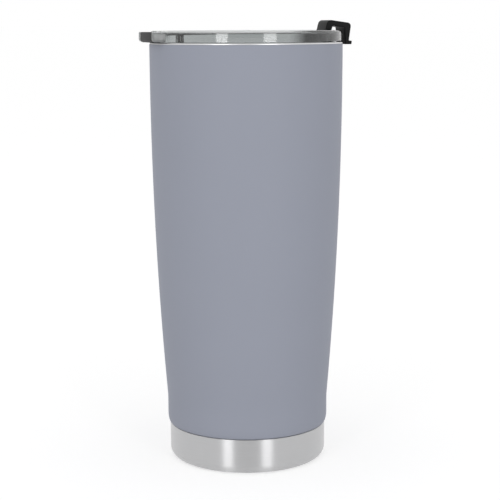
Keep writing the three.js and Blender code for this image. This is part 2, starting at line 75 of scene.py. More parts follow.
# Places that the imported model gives
SHELL_LOW, SHELL = place("outer_shell")
LINER = place("inner_liner")[1]
FLOOR_LOW, FLOOR = place("liner_bottom")
FOIL_LOW, FOIL = place("copper_foil")
CAP = place("base_cap")[1]
DISC_LOW, DISC = place("vacuum_bottom")
BEAD_LOW, BEAD = place("seal_bead")
DISH_LOW, DISH = place("getter_cup")
PELLET_LOW, PELLET = place("getter")
LID_LOW, LID = place("lid_body")
GASKET_LOW, GASKET = place("lid_gasket")
ARM_LOW, ARM = place("flip_arm")
PIN_LOW, PIN = place("hinge_pin")
PLUG_LOW, PLUG = place("drink_plug")
VENT_LOW, VENT = place("vent_plug")

# Cup
SEAT_GAP = 0.3  # between pieces that are welded, glued or rest on each other
TAPER_END = 28  # height at which the wall's taper ends
FOOT_R = 36.25  # radius at that height
SHELL_WALL = 0.5
LINER_WALL = 0.5
VACUUM_GAP = 3.2
MOUTH_WALL = 1.8  # both walls together at the mouth
LIP_BAND = 0.5  # height of the thickened lip below the coated wall's edge
COAT_TOP = SHELL.z - 0.3  # the coat is masked off here, and bare steel shows above it
COAT_SEAM = 0.05  # between the coat's edge and the bare lip
LIP_TOP = LINER.z
LIP_R = SHELL.x - 0.1
NECK_DEPTH = 15  # straight bore for the lid's plug
NECK_BLEND = 7  # height of the shoulder under that bore
FLOOR_CORNER = 8  # inside corner between wall and floor
FOIL_WALL = 0.2
CAP_WALL = 0.6
CAP_CORNER = 4.2
CAP_EDGE = 0.25
FOOT_RING = 3  # width of the flat ring that the cup stands on
FOOT_RECESS = 1.2  # how far the middle of the base is pressed up
FOOT_SLOPE = 1.5
FOOT_BEND = 0.6
RECESS_BEND = 1.2
CURL_HEIGHT = 4  # height over which the wall curls in above the bare base
CURL_R = CAP.x + 0.05
SHELF = CAP.z + SEAT_GAP
SPIGOT_R = CAP.x - CAP_WALL - SEAT_GAP
DISC_WALL = 0.6
DISC_CORNER = 1.5
DIMPLE_R = 5.5
DIMPLE_RISE = 1.6
DIMPLE_BEND = 0.8
PORT_R = 0.9
DISH_WALL = 0.5
BORE_R = SHELL.x - MOUTH_WALL

# Lid
LID_BOTTOM = LINER.z + SEAT_GAP
RIM_BOTTOM = LIP_TOP + 0.1  # the outer rim reaches down to the lip
RIM_IN = BORE_R + 0.4
LID_R = LID.x
PLATE_TOP = LID.z - 1.4
BEAD_R = LID_R - 2.7  # inside of the raised bead
GROOVE_R = BORE_R - 3.9
SKIRT_R = GROOVE_R - 2  # inside of the skirt
RIDGE_R = GROOVE_R + 1.6
RIDGE_TOP = LID_LOW.z + 1.9
PLAY = 0.3  # round the arm
FLAT_HALF = ARM.y + PLAY  # half the width of the flat beside the hinge block
FLAT_X = -math.sqrt(LID_R ** 2 - FLAT_HALF ** 2)
EAR_ROOT = 2.4
EAR_EDGE = 0.4
EAR_LOW_CORNER = 1.3
EAR_CROWN = 1.1
RELIEF_X = 18  # from here to the arch the rim's underside rises, so that a thumb can lift it
RELIEF = 0.7
PAINTED_SHEEN_DEPTHS = (0.95, 0.45)  # depths under the bead's top between which it turns milky: a painted highlight for the pale shine of its rounded edge
PAINTED_SHEEN_X = (17, 6)  # places along X between which the bead's painted highlight fades in; near the arch the bead stays clear to show the arch's dark reflection
FIN_ROOT = 0.8
FIN_TIP = 0.4
BAND = 2  # thickness of the gasket between its fins

# Arm
ARM_HALF = 6  # half the strap's width
ARM_TOP = LID.z - 0.7
STRAP_TOP = ARM_TOP - 0.3
STRAP_LOW = ARM_TOP - 1.2
STRAP_FLAT = 0.1  # stays on the strap's narrow sides between their rounded edges
CHANNEL = STRAP_LOW - PLAY
PIN_X = (PIN_LOW.x + PIN.x) / 2
PIN_Z = (PIN_LOW.z + PIN.z) / 2
PIN_R = (PIN.x - PIN_LOW.x) / 2
PIN_PLAY = 0.1
PIN_DOME = 0.35
PIN_COVER = 1.2  # of the ear's plastic over each end of the pin
PIN_END = PIN.y - PIN_COVER - PIN_PLAY
BLOCK_TOP = ARM_TOP + 0.2
BLOCK_BOTTOM = BLOCK_TOP - 4.5
BLOCK_IN = PIN_X + 2.1
ARCH_SLOPE = math.radians(8)  # by which the arch's beam falls and its outer leg leans
LEG_LEAN = math.radians(15)
LEG_X = BEAD_R - 2.1  # outer side of the inner leg, where it rises from the strap
LEG_WIDTH = 2.5
ARCH_RISE = 5.35
BEAM_DEPTH = 2.3
FOOT_X = LID_R + 2.6  # inner side of the outer leg's foot
FOOT_WIDTH = 1.4
FOOT_Z = LID.z - 6.3
LEG_SPREAD = 0.5  # by which the outer leg's inner side lies further in at its top
TAB_REACH = 1.5
TAB_HEIGHT = 1.6
TAB_LEAN = 0.2
TAB_CORNER = 0.35
CREASE = 0.5  # rounding where the legs meet the strap and the beam
DRINK_X = (PLUG_LOW.x + PLUG.x) / 2
VENT_X = (VENT_LOW.x + VENT.x) / 2
DRINK_HOLE = (12, 9)  # length and width
VENT_HOLE = (3.2, 3.2)
SEAT_DEPTH = 0.6
DRINK_SEAT = (10, 7)  # pocket in the arm's underside
VENT_SEAT = (2.4, 2.4)
PLUG_DRAFT = 0.2  # by which a plug's nose is drawn in
PLUG_EDGE = 0.15

# Fineness and cuts
SIDES = 180  # round the cup and the lid
SMALL_SIDES = 48  # round pins, plugs and holes
CORNER_STEPS = 6
PAST = 1  # cuts reach this far past a face


class TumblerSizes(bpy.types.PropertyGroup):
    """Sizes that a user would change"""

    taper_power: FloatProperty(
        name="Taper Power",
        description="1 is a plain cone, more keeps the upper wall straighter",
        default=2.1, min=1, max=4,
    )
    coat_edge: FloatProperty(
        name="Coat Edge", description="Rounding of the coated wall's top edge",
        default=0.2 * MM, min=0, unit="LENGTH",
    )
    lid_edge: FloatProperty(
        name="Lid Edge", description="Rounding of the lid's outer edges",
        default=1.1 * MM, min=0, unit="LENGTH",
    )
    arm_edge: FloatProperty(
        name="Arm Edge", description="Rounding of the arm's side edges",
        default=0.45 * MM, min=0, unit="LENGTH",
    )
    fins: IntProperty(
        name="Gasket Fins", description="Soft fins round the gasket", default=3, min=1, max=6,
    )


def swatch(name, description, hex_colour):
    """Property that holds a colour."""
    return FloatVectorProperty(
        name=name, description=description, subtype="COLOR", size=3,
        default=linear(hex_colour), min=0, max=1,
    )


class TumblerColours(bpy.types.PropertyGroup):
    """Colours that a user would change"""

    coat: swatch("Coat", "Powder coat of the wall", "#979BA8")
    steel: swatch("Steel", "Stainless steel of the liner, lip and pin", "#DCDCDD")
    base: swatch("Base", "Brushed stainless steel of the base", "#C6C6C7")
    lid: swatch("Lid", "Clear plastic of the lid", "#E6E9E9")
    arm: swatch("Arm", "Moulded plastic of the arm", "#101011")
    silicone: swatch("Silicone", "Gasket and plugs", "#1B1B1C")


def add(tree, kind, inputs=(), **settings):
    """Adds a node with its settings, or a math node where the kind is an operation in capitals.

    An input is a value, an output socket or a node, whose first output is meant.
    """
    made = tree.nodes.new("ShaderNodeMath" if kind.isupper() else kind)
    if kind.isupper():
        made.operation = kind
    for name, value in settings.items():
        setattr(made, name, value)
    for key, value in inputs.items() if isinstance(inputs, dict) else enumerate(inputs):
        if isinstance(value, bpy.types.Node):
            value = value.outputs[0]
        if isinstance(value, bpy.types.NodeSocket):
            tree.links.new(value, made.inputs[key])
        else:
            made.inputs[key].default_value = value
    return made


# Outlines

def rounded(corners, steps=CORNER_STEPS):
    """Points round a closed outline of (x, y, radius) corners, each radius drawn as an arc."""
    points = []
    for i, (x, y, radius) in enumerate(corners):
        here = Vector((x, y))
        if radius == 0:
            points.append(here)
            continue
        back = (Vector(corners[i - 1][:2]) - here).normalized()
        ahead = (Vector(corners[(i + 1) % len(corners)][:2]) - here).normalized()
        half = math.acos(max(-1, min(1, back.dot(ahead)))) / 2
        centre = here + (back + ahead).normalized() * (radius / math.sin(half))
        spoke = here + back * (radius / math.tan(half)) - centre
        side = 1 if back.x * ahead.y - back.y * ahead.x < 0 else -1
        for k in range(steps + 1):
            angle = side * (math.pi - 2 * half) * k / steps
            points.append(centre + Matrix.Rotation(angle, 2) @ spoke)
    return points


def inset(corners, depth):
    """The same anticlockwise outline moved in by depth, with its arcs about the same centres."""
    moved = []
    for i, (x, y, radius) in enumerate(corners):
        here = Vector((x, y))
        along = (here - Vector(corners[i - 1][:2])).normalized()
        onward = (Vector(corners[(i + 1) % len(corners)][:2]) - here).normalized()
        inward = Vector((-along.y, along.x))
        inward_next = Vector((-onward.y, onward.x))
        shift = (inward + inward_next) * (depth / (1 + inward.dot(inward_next)))
        convex = along.x * onward.y - along.y * onward.x > 0
        kept = radius - depth if convex else radius + depth
        moved.append((x + shift.x, y + shift.y, max(kept, 0.01) if radius else 0))
    return moved


def arc(x, y, radius_x, radius_y, start, end, steps):
    """Points of an elliptical arc, with its angles in degrees."""
    angles = [math.radians(start + (end - start) * k / steps) for k in range(steps + 1)]
    return [(x + radius_x * math.cos(a), y + radius_y * math.sin(a)) for a in angles]


def wall(radius_at, start, end, steps):
    """Points along a wall whose radius is a function of height."""
    heights = [start + (end - start) * k / steps for k in range(steps + 1)]
    return [(radius_at(z), z) for z in heights]


def outer_radius(height):
    """Outside radius of the coated wall, which the liner follows."""
    power = bpy.context.scene.tumbler_sizes.taper_power
    left = 1 - min(1, max(0, (height - TAPER_END) / (SHELL.z - TAPER_END)))
    return SHELL.x - (SHELL.x - FOOT_R) * left ** power


def liner_radius(height):
    """Inside radius of the liner, which widens over a shoulder into the mouth's straight bore."""
    narrow = outer_radius(height) - SHELL_WALL - VACUUM_GAP - LINER_WALL
    share = min(1, max(0, (height - SHELL.z + NECK_DEPTH + NECK_BLEND) / NECK_BLEND))
    return narrow + (BORE_R - narrow) * share * share * (3 - 2 * share)


# Meshes

def piece_of(name, bm):
    """New object with the mesh, whose millimetres become metres here."""
    bmesh.ops.recalc_face_normals(bm, faces=bm.faces)
    bm.transform(Matrix.Scale(MM, 4))
    mesh = bpy.data.meshes.new(name)
    bm.to_mesh(mesh)
    bm.free()
    piece = bpy.data.objects.new(name, mesh)
    bpy.context.scene.collection.objects.link(piece)
    return piece


def lofted(rings):
    """Mesh through rings of points, closed by a face at each end."""
    bm = bmesh.new()
    loops = [[bm.verts.new(p) for p in ring] for ring in rings]
    bm.faces.new(reversed(loops[0]))
    bm.faces.new(loops[-1])
    for low, high in zip(loops, loops[1:]):
        for k in range(len(low)):
            after = (k + 1) % len(low)
            bm.faces.new((low[k], low[after], high[after], high[k]))
    return bm


def turned(section, sides=SIDES):
    """Mesh of a section of (radius, height) turned about Z; it ends on the axis or is closed."""
    bm = bmesh.new()
    angles = [2 * math.pi * k / sides for k in range(sides)]
    rings = []
    for radius, height in section:
        if radius == 0:
            rings.append([bm.verts.new((0, 0, height))] * sides)
        else:
            rings.append([
                bm.verts.new((radius * math.cos(a), radius * math.sin(a), height)) for a in angles
            ])
    if section[0][0] != 0:
        rings.append(rings[0])
    for low, high in zip(rings, rings[1:]):
        for k in range(sides):
            after = (k + 1) % sides
            bm.faces.new(dict.fromkeys((low[k], low[after], high[after], high[k])))
    return bm


def slab(corners, half_width, edge):
    """Mesh of an outline in X and Z, as wide as it says along Y, with rounded side edges."""
    quarter = [math.pi / 2 * k / CORNER_STEPS for k in range(CORNER_STEPS + 1)]
    layers = [(edge * (1 - math.sin(a)), half_width - edge * (1 - math.cos(a))) for a in quarter]
    rings = []
    for drawn_in, depth in [(d, -y) for d, y in layers] + list(reversed(layers)):
        rings.append([(p.x, depth, p.y) for p in rounded(inset(corners, drawn_in))])
    return lofted(rings)


def column(x, size, profile):
    """Mesh of an oval column, size being its length and width, with rings (drawn in, height)."""
    angles = [2 * math.pi * k / SMALL_SIDES for k in range(SMALL_SIDES)]
    rings = []
    for drawn_in, z in profile:
        half_x, half_y = size[0] / 2 - drawn_in, size[1] / 2 - drawn_in
        rings.append([(x + half_x * math.cos(a), half_y * math.sin(a), z) for a in angles])
    return lofted(rings)


def box(low, high):
    """Mesh of a plain block between two corners, for cutting."""
    (x0, y0, z0), (x1, y1, z1) = low, high
    return lofted([[(x0, y0, z), (x1, y0, z), (x1, y1, z), (x0, y1, z)] for z in (z0, z1)])


def across(section):
    """Mesh of a section turned about the hinge pin's axis."""
    bm = turned(section, SMALL_SIDES)
    bm.transform(Matrix.Translation((PIN_X, 0, PIN_Z)) @ Matrix.Rotation(math.pi / 2, 4, "X"))
    return bm


def pin_bore(reach):
    """Mesh of the hinge pin's bore as far as it reaches on either side, for cutting."""
    radius = PIN_R + PIN_PLAY
    return across([(0, -reach), (radius, -reach), (radius, reach), (0, reach)])


def freeze(piece):
    """Turns what the modifiers make into the piece's own plain mesh."""
    shown = piece.evaluated_get(bpy.context.evaluated_depsgraph_get())
    mesh = bpy.data.meshes.new_from_object(shown)
    piece.modifiers.clear()
    piece.data = mesh


def combine(piece, bm, operation):
    """Joins a second body to the piece, or cuts it out of the piece."""
    other = piece_of("operand", bm)
    step = piece.modifiers.new("step", "BOOLEAN")
    step.operation = operation
    step.solver = "EXACT"
    step.object = other
    freeze(piece)
    bpy.data.objects.remove(other)


def triangulate(piece):
    """Splits a cut piece into triangles, and takes away those that have no area."""
    bm = bmesh.new()
    bm.from_mesh(piece.data)
    bmesh.ops.triangulate(bm, faces=bm.faces)
    bmesh.ops.dissolve_degenerate(bm, dist=0.001 * MM, edges=bm.edges)
    bmesh.ops.triangulate(bm, faces=bm.faces)
    bm.to_mesh(piece.data)
    bm.free()


def settle(piece, body, finish, node, sharp=35):
    """Finishes a piece: smooth faces with its sharp edges, its material, and what it stands for."""
    piece.data.shade_smooth()
    piece.data.set_sharp_from_angle(angle=math.radians(sharp))
    piece.data.materials.clear()
    piece.data.materials.append(finish)
    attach(piece, body)
    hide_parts(node)


# Node trees that make meshes

def new_tree(name, inputs):
    """Empty Geometry Nodes tree whose named inputs are given as {name: kind of socket}."""
    tree = bpy.data.node_groups.new(name, "GeometryNodeTree")
    tree.interface.new_socket("Geometry", in_out="INPUT", socket_type="NodeSocketGeometry")
    for label, kind in inputs.items():
        tree.interface.new_socket(label, in_out="INPUT", socket_type=kind)
    tree.interface.new_socket("Geometry", in_out="OUTPUT", socket_type="NodeSocketGeometry")
    return tree, add(tree, "NodeGroupInput").outputs


def turn_about_axis(tree, section, sides):
    """Turns a section about Z; its points lie in order, with X as radius and Z as height."""
    count = add(tree, "GeometryNodeAttributeDomainSize", {"Geometry": section}).outputs[0]
    rows = add(tree, "ADD", [count, 1])
    columns = add(tree, "ADD", [sides, 1])
    grid = add(tree, "GeometryNodeMeshGrid", {"Vertices X": columns, "Vertices Y": rows})
    index = add(tree, "GeometryNodeInputIndex")
    middle = add(tree, "ADD", [index, 0.5])
    share = add(tree, "DIVIDE", [middle, rows])
    column_index = add(tree, "FLOOR", [share])
    before = add(tree, "MULTIPLY", [column_index, rows])
    row_index = add(tree, "SUBTRACT", [index, before])
    inside = add(tree, "LESS_THAN", [row_index, count])
    source = add(tree, "MULTIPLY", [row_index, inside])
    place_of = add(tree, "GeometryNodeInputPosition")
    point = add(
        tree, "GeometryNodeSampleIndex", {"Geometry": section, "Value": place_of, "Index": source},
        data_type="FLOAT_VECTOR", domain="POINT",
    )
    parts = add(tree, "ShaderNodeSeparateXYZ", [point]).outputs
    turn = add(tree, "DIVIDE", [column_index, sides])
    angle = add(tree, "MULTIPLY", [turn, 2 * math.pi])
    cosine = add(tree, "COSINE", [angle])
    sine = add(tree, "SINE", [angle])
    x = add(tree, "MULTIPLY", [parts["X"], cosine])
    y = add(tree, "MULTIPLY", [parts["X"], sine])
    position = add(tree, "ShaderNodeCombineXYZ", {"X": x, "Y": y, "Z": parts["Z"]})
    moved = add(tree, "GeometryNodeSetPosition", {"Geometry": grid, "Position": position})
    return add(tree, "GeometryNodeMergeByDistance", {"Geometry": moved, "Distance": 0.002 * MM})


def end_tree(tree, geometry, finish):
    """Ends a tree in real geometry with its material."""
    real = add(tree, "GeometryNodeRealizeInstances", {"Geometry": geometry})
    painted = add(tree, "GeometryNodeSetMaterial", {"Geometry": real, "Material": finish})
    add(tree, "NodeGroupOutput", {"Geometry": painted})


def run_tree(name, section, tree, values):
    """Piece that a tree makes from the points of a section, frozen to a plain mesh."""
    mesh = bpy.data.meshes.new(name)
    mesh.from_pydata([(x * MM, 0, z * MM) for x, z in section], [], [])
    piece = bpy.data.objects.new(name, mesh)
    bpy.context.scene.collection.objects.link(piece)
    step = piece.modifiers.new("make", "NODES")
    step.node_group = tree
    for socket in tree.interface.items_tree:
        if socket.in_out == "INPUT" and socket.name in values:
            step[socket.identifier] = values[socket.name]
    freeze(piece)
    bm = bmesh.new()
    bm.from_mesh(piece.data)
    bmesh.ops.recalc_face_normals(bm, faces=bm.faces)
    bm.to_mesh(piece.data)
    bm.free()
    return piece


def tapered_wall_tree(finish):
    """Bends a section, drawn as distances from the wall's outside, to the taper and turns it."""
    tree, given = new_tree("Tapered Wall", {
        "Mouth Radius": "NodeSocketFloat", "Foot Radius": "NodeSocketFloat",
        "Top": "NodeSocketFloat", "Taper End": "NodeSocketFloat",
        "Taper Power": "NodeSocketFloat", "Sides": "NodeSocketInt",
    })
    parts = add(tree, "ShaderNodeSeparateXYZ", [add(tree, "GeometryNodeInputPosition")]).outputs
    left = add(tree, "ShaderNodeMapRange", {
        "Value": parts["Z"], "From Min": given["Taper End"], "From Max": given["Top"],
        "To Min": 1.0, "To Max": 0.0,
    })
    bend = add(tree, "POWER", [left, given["Taper Power"]])
    spread = add(tree, "SUBTRACT", [given["Mouth Radius"], given["Foot Radius"]])
    drop = add(tree, "MULTIPLY", [spread, bend])
    outside = add(tree, "SUBTRACT", [given["Mouth Radius"], drop])
    radius = add(tree, "ADD", [outside, parts["X"]])
    position = add(tree, "ShaderNodeCombineXYZ", {"X": radius, "Z": parts["Z"]})
    bent = add(
        tree, "GeometryNodeSetPosition", {"Geometry": given["Geometry"], "Position": position},
    )
    end_tree(tree, turn_about_axis(tree, bent.outputs[0], given["Sides"]), finish)
    return tree


def finned_ring_tree(finish):
    """Repeats the section's first points up the ring, a set for each fin, and turns the whole."""
    tree, given = new_tree("Finned Ring", {
        "Fin Points": "NodeSocketInt", "Fins": "NodeSocketInt",
        "Pitch": "NodeSocketFloat", "Sides": "NodeSocketInt",
    })
    index = add(tree, "GeometryNodeInputIndex")
    chosen = add(tree, "LESS_THAN", [index, given["Fin Points"]])
    split = add(
        tree, "GeometryNodeSeparateGeometry",
        {"Geometry": given["Geometry"], "Selection": chosen},
    ).outputs
    step = add(tree, "ShaderNodeCombineXYZ", {"Z": given["Pitch"]})
    line = add(
        tree, "GeometryNodeMeshLine", {"Count": given["Fins"], "Offset": step}, mode="OFFSET",
    )
    copies = add(
        tree, "GeometryNodeInstanceOnPoints", {"Points": line, "Instance": split["Selection"]},
    )
    fins = add(tree, "GeometryNodeRealizeInstances", {"Geometry": copies})
    whole = add(tree, "GeometryNodeJoinGeometry")
    tree.links.new(split["Inverted"], whole.inputs[0])
    tree.links.new(fins.outputs[0], whole.inputs[0])
    end_tree(tree, turn_about_axis(tree, whole.outputs[0], given["Sides"]), finish)
    return tree


# Materials

def begin(name):
    """New material: its tree, the object's own coordinates in it, and the material."""
    made = bpy.data.materials.new(name)
    made.use_nodes = True
    made.node_tree.nodes.clear()
    return made.node_tree, add(made.node_tree, "ShaderNodeTexCoord").outputs["Object"], made


def close(tree, inputs, **ends):
    """Ends a material's tree in its surface, and in its volume where one is given."""
    shader = add(tree, "ShaderNodeBsdfPrincipled", inputs)
    add(tree, "ShaderNodeOutputMaterial", {"Surface": shader, **ends})


def surface(tree, colour, shades, pattern, roughness, bump, clouds=None):
    """Colour, roughness and bump that follow a pattern.

    Shades are shares of the colour, and clouds may take the pattern's place for them. Bump is
    a strength and a depth in millimetres.
    """
    low, high = [[*[min(1, c * share) for c in colour], 1] for share in shades]
    return {
        "Base Color": add(
            tree, "ShaderNodeMix",
            {"Factor": pattern if clouds is None else clouds, 6: low, 7: high}, data_type="RGBA",
        ).outputs[2],
        "Roughness": add(tree, "ShaderNodeMapRange", {
            "Value": pattern, "To Min": roughness[0], "To Max": roughness[1],
        }),
        "Normal": add(tree, "ShaderNodeBump", {
            "Height": pattern, "Strength": bump[0], "Distance": bump[1] * MM,
        }),
    }


def changed(tree, look, share, colour, roughness):
    """The look, with another colour and roughness where the share is 1."""
    return {
        **look,
        "Base Color": add(
            tree, "ShaderNodeMix",
            {"Factor": share, 6: look["Base Color"], 7: [*linear(colour), 1]}, data_type="RGBA",
        ).outputs[2],
        "Roughness": add(
            tree, "ShaderNodeMix", {"Factor": share, "A": look["Roughness"], "B": roughness},
        ),
    }


def lines_round_axis(tree, where, line, run):
    """Noise in lines that run round the axis on walls and floors; both sizes in millimetres."""
    parts = add(tree, "ShaderNodeSeparateXYZ", [where]).outputs
    flat = add(tree, "ShaderNodeCombineXYZ", {"X": parts["X"], "Y": parts["Y"]})
    out = add(tree, "ShaderNodeVectorMath", [flat], operation="LENGTH").outputs["Value"]
    along_wall = add(tree, "ADD", [out, parts["Z"]])
    x = add(tree, "MULTIPLY", [parts["X"], 1 / (run * MM)])
    y = add(tree, "MULTIPLY", [parts["Y"], 1 / (run * MM)])
    z = add(tree, "MULTIPLY", [along_wall, 1 / (line * MM)])
    stretched = add(tree, "ShaderNodeCombineXYZ", {"X": x, "Y": y, "Z": z})
    return add(
        tree, "ShaderNodeTexNoise",
        {"Vector": stretched, "Scale": 1.0, "Detail": 3.0, "Roughness": 0.6},
    )


def matt_powder_coat(colour):
    """Polyester powder coat, sprayed and baked: even and glossless, with a fine orange peel"""
    tree, where, made = begin("matt_powder_coat")
    peel = add(
        tree, "ShaderNodeTexNoise", {"Vector": where, "Scale": 1 / (0.9 * MM), "Detail": 1.0},
    )
    cloud = add(tree, "ShaderNodeTexNoise", {"Vector": where, "Scale": 1 / (30 * MM)})
    close(tree, surface(tree, colour, (0.985, 1.015), peel, (0.58, 0.7), (0.12, 0.03), cloud))
    return made


def brushed_stainless(colour):
    """Stainless steel brushed on a lathe: fine lines round the axis draw highlights upright"""
    tree, where, made = begin("brushed_stainless_steel")
    lines = lines_round_axis(tree, where, 0.3, 14)  # real lines are finer and wouldn't show
    close(tree, {
        "Metallic": 1.0,
        "Anisotropic": 1.0,
        "Anisotropic Rotation": 0.25,
        "Tangent": add(tree, "ShaderNodeTangent", direction_type="RADIAL", axis="Z"),
        **surface(tree, colour, (0.95, 1.05), lines, (0.34, 0.42), (0.05, 0.01)),
    })
    return made


def satin_stainless(colour):
    """Stainless steel, satin from drawing inside and buffed to a bright line at the lip"""
    tree, where, made = begin("satin_stainless_steel")
    lines = lines_round_axis(tree, where, 0.4, 20)  # real lines are finer and wouldn't show
    satin = surface(tree, colour, (0.94, 1.04), lines, (0.3, 0.42), (0.08, 0.01))
    buffed = add(tree, "ShaderNodeMapRange", {
        "Value": add(tree, "ShaderNodeSeparateXYZ", [where]).outputs["Z"],
        "From Min": (SHELL.z - 3) * MM, "From Max": (SHELL.z - 1) * MM,
    })
    close(tree, {"Metallic": 1.0, **changed(tree, satin, buffed, "#DADADB", 0.34)})
    return made


def copper_foil_finish():
    """Rolled copper foil, wrapped by hand: warm and bright, softly creased"""
    tree, where, made = begin("rolled_copper_foil")
    creases = add(
        tree, "ShaderNodeTexNoise", {"Vector": where, "Scale": 1 / (8 * MM), "Detail": 4.0},
    )
    copper = linear("#B87350")
    close(tree, {
        "Metallic": 1.0, **surface(tree, copper, (0.85, 1.15), creases, (0.2, 0.4), (0.4, 0.1)),
    })
    return made


def fused_glass():
    """Solder glass, melted over the port: a smooth grey-green bead with a slight ripple"""
    tree, where, made = begin("fused_solder_glass")
    ripple = add(tree, "ShaderNodeTexNoise", {"Vector": where, "Scale": 1 / (1.5 * MM)})
    glass = linear("#8FA39B")
    close(tree, {
        "IOR": 1.6, **surface(tree, glass, (0.85, 1.1), ripple, (0.08, 0.2), (0.3, 0.05)),
    })
    return made


def sintered_getter():
    """Zirconium alloy powder, pressed and sintered: dark, dull and grainy"""
    tree, where, made = begin("sintered_zirconium_alloy")
    # Real grains are finer and wouldn't show
    grains = add(
        tree, "ShaderNodeTexVoronoi", {"Vector": where, "Scale": 1 / (0.3 * MM)},
    ).outputs["Distance"]
    alloy = linear("#4A4C50")
    close(tree, {
        "Metallic": 0.4, **surface(tree, alloy, (0.7, 1.3), grains, (0.7, 0.9), (0.6, 0.08)),
    })
    return made


def clear_copolymer(colour):
    """Styrene copolymer, injection moulded: clear, with satin ears and a highlight painted milky
    along the bead
    """
    tree, where, made = begin("clear_styrene_copolymer")
    waves = add(
        tree, "ShaderNodeTexNoise", {"Vector": where, "Scale": 1 / (9 * MM), "Detail": 1.0},
    )
    moulded = add(tree, "ShaderNodeMapRange", {"Value": waves, "To Min": 0.04, "To Max": 0.1})
    parts = add(tree, "ShaderNodeSeparateXYZ", [where]).outputs
    # The milky band along the bead is a painted highlight, not wear. It stands in for the pale
    # shine of the rounded edge and fades out toward the arch.
    bead = add(tree, "ShaderNodeMapRange", {
        "Value": parts["Z"],
        "From Min": (LID.z - PAINTED_SHEEN_DEPTHS[0]) * MM, "From Max": (LID.z - PAINTED_SHEEN_DEPTHS[1]) * MM,
    })
    toward_hinge = add(tree, "ShaderNodeMapRange", {
        "Value": parts["X"], "From Min": PAINTED_SHEEN_X[0] * MM, "From Max": PAINTED_SHEEN_X[1] * MM,
    })
    painted_sheen = add(tree, "MULTIPLY", [bead, toward_hinge])
    ears = add(tree, "ShaderNodeMapRange", {
        "Value": parts["X"], "From Min": (FLAT_X + EAR_ROOT) * MM, "From Max": FLAT_X * MM,
    })
    matt = add(tree, "ShaderNodeMix", {"Factor": ears, "A": moulded, "B": 0.45})
    clear = add(tree, "ShaderNodeMix", {"Factor": ears, "A": 1.0, "B": 0.8})
    close(tree, {
        "Base Color": [*colour, 1],
        "Transmission Weight": add(
            tree, "ShaderNodeMix", {"Factor": painted_sheen, "A": clear, "B": 0.25},
        ),
        "IOR": 1.57,
        "Coat Weight": 0.35,
        "Coat Roughness": 0.02,
        "Roughness": add(tree, "ShaderNodeMix", {"Factor": painted_sheen, "A": matt, "B": 0.12}),
        "Normal": add(
            tree, "ShaderNodeBump", {"Height": waves, "Strength": 0.15, "Distance": 0.05 * MM},
        ),
    }, Volume=add(
        tree, "ShaderNodeVolumeAbsorption", {"Color": [0.55, 0.57, 0.57, 1], "Density": 25.0},
    ))
    return made


def black_polypropylene(colour):
    """Black polypropylene from a spark-eroded mould: a satin skin that spreads its highlights"""
    tree, where, made = begin("moulded_black_polypropylene")
    # Real pits are finer and wouldn't show
    pits = add(tree, "ShaderNodeTexNoise", {"Vector": where, "Scale": 1 / (0.45 * MM)})
    cloud = add(tree, "ShaderNodeTexNoise", {"Vector": where, "Scale": 1 / (6 * MM)})
    close(tree, {
        "Specular IOR Level": 0.14,
        **surface(tree, colour, (0.9, 1.12), pits, (0.42, 0.56), (0.2, 0.03), cloud),
    })
    return made


def black_silicone(colour):
    """Black silicone rubber, press moulded: soft and matt, with a trace of bloom"""
    tree, where, made = begin("black_silicone_rubber")
    skin = add(tree, "ShaderNodeTexNoise", {"Vector": where, "Scale": 1 / (0.7 * MM)})
    close(tree, {
        "IOR": 1.41, **surface(tree, colour, (0.85, 1.25), skin, (0.55, 0.7), (0.15, 0.03)),
    })
    return made


def drawn_stainless(colour):
    """Stainless wire, drawn through a die: bright, with lines along it and dull cut ends"""
    tree, where, made = begin("drawn_stainless_wire")
    crosswise, lengthwise = 6 / MM, 0.12 / MM  # in lines to the millimetre; real ones are finer
    scale = (crosswise, lengthwise, crosswise)
    drawn = add(tree, "ShaderNodeMapping", {"Vector": where, "Scale": scale})
    lines = add(tree, "ShaderNodeTexNoise", {"Vector": drawn, "Scale": 1.0})
    wire = surface(tree, colour, (0.92, 1.05), lines, (0.18, 0.32), (0.05, 0.01))
    y = add(tree, "ShaderNodeSeparateXYZ", [where]).outputs["Y"]
    cut = add(tree, "ShaderNodeMapRange", {
        "Value": add(tree, "ABSOLUTE", [y]),
        "From Min": (PIN_END - 0.7) * MM, "From Max": (PIN_END - 0.4) * MM,
    })
    close(tree, {"Metallic": 1.0, **changed(tree, wire, cut, "#6E6E70", 0.6)})
    return made


FINISHES = {}


def finish_of(make, *colour):
    """The material that make gives, made when it is first asked for."""
    if make not in FINISHES:
        FINISHES[make] = make(*[list(c) for c in colour])
    return FINISHES[make]


# Operators

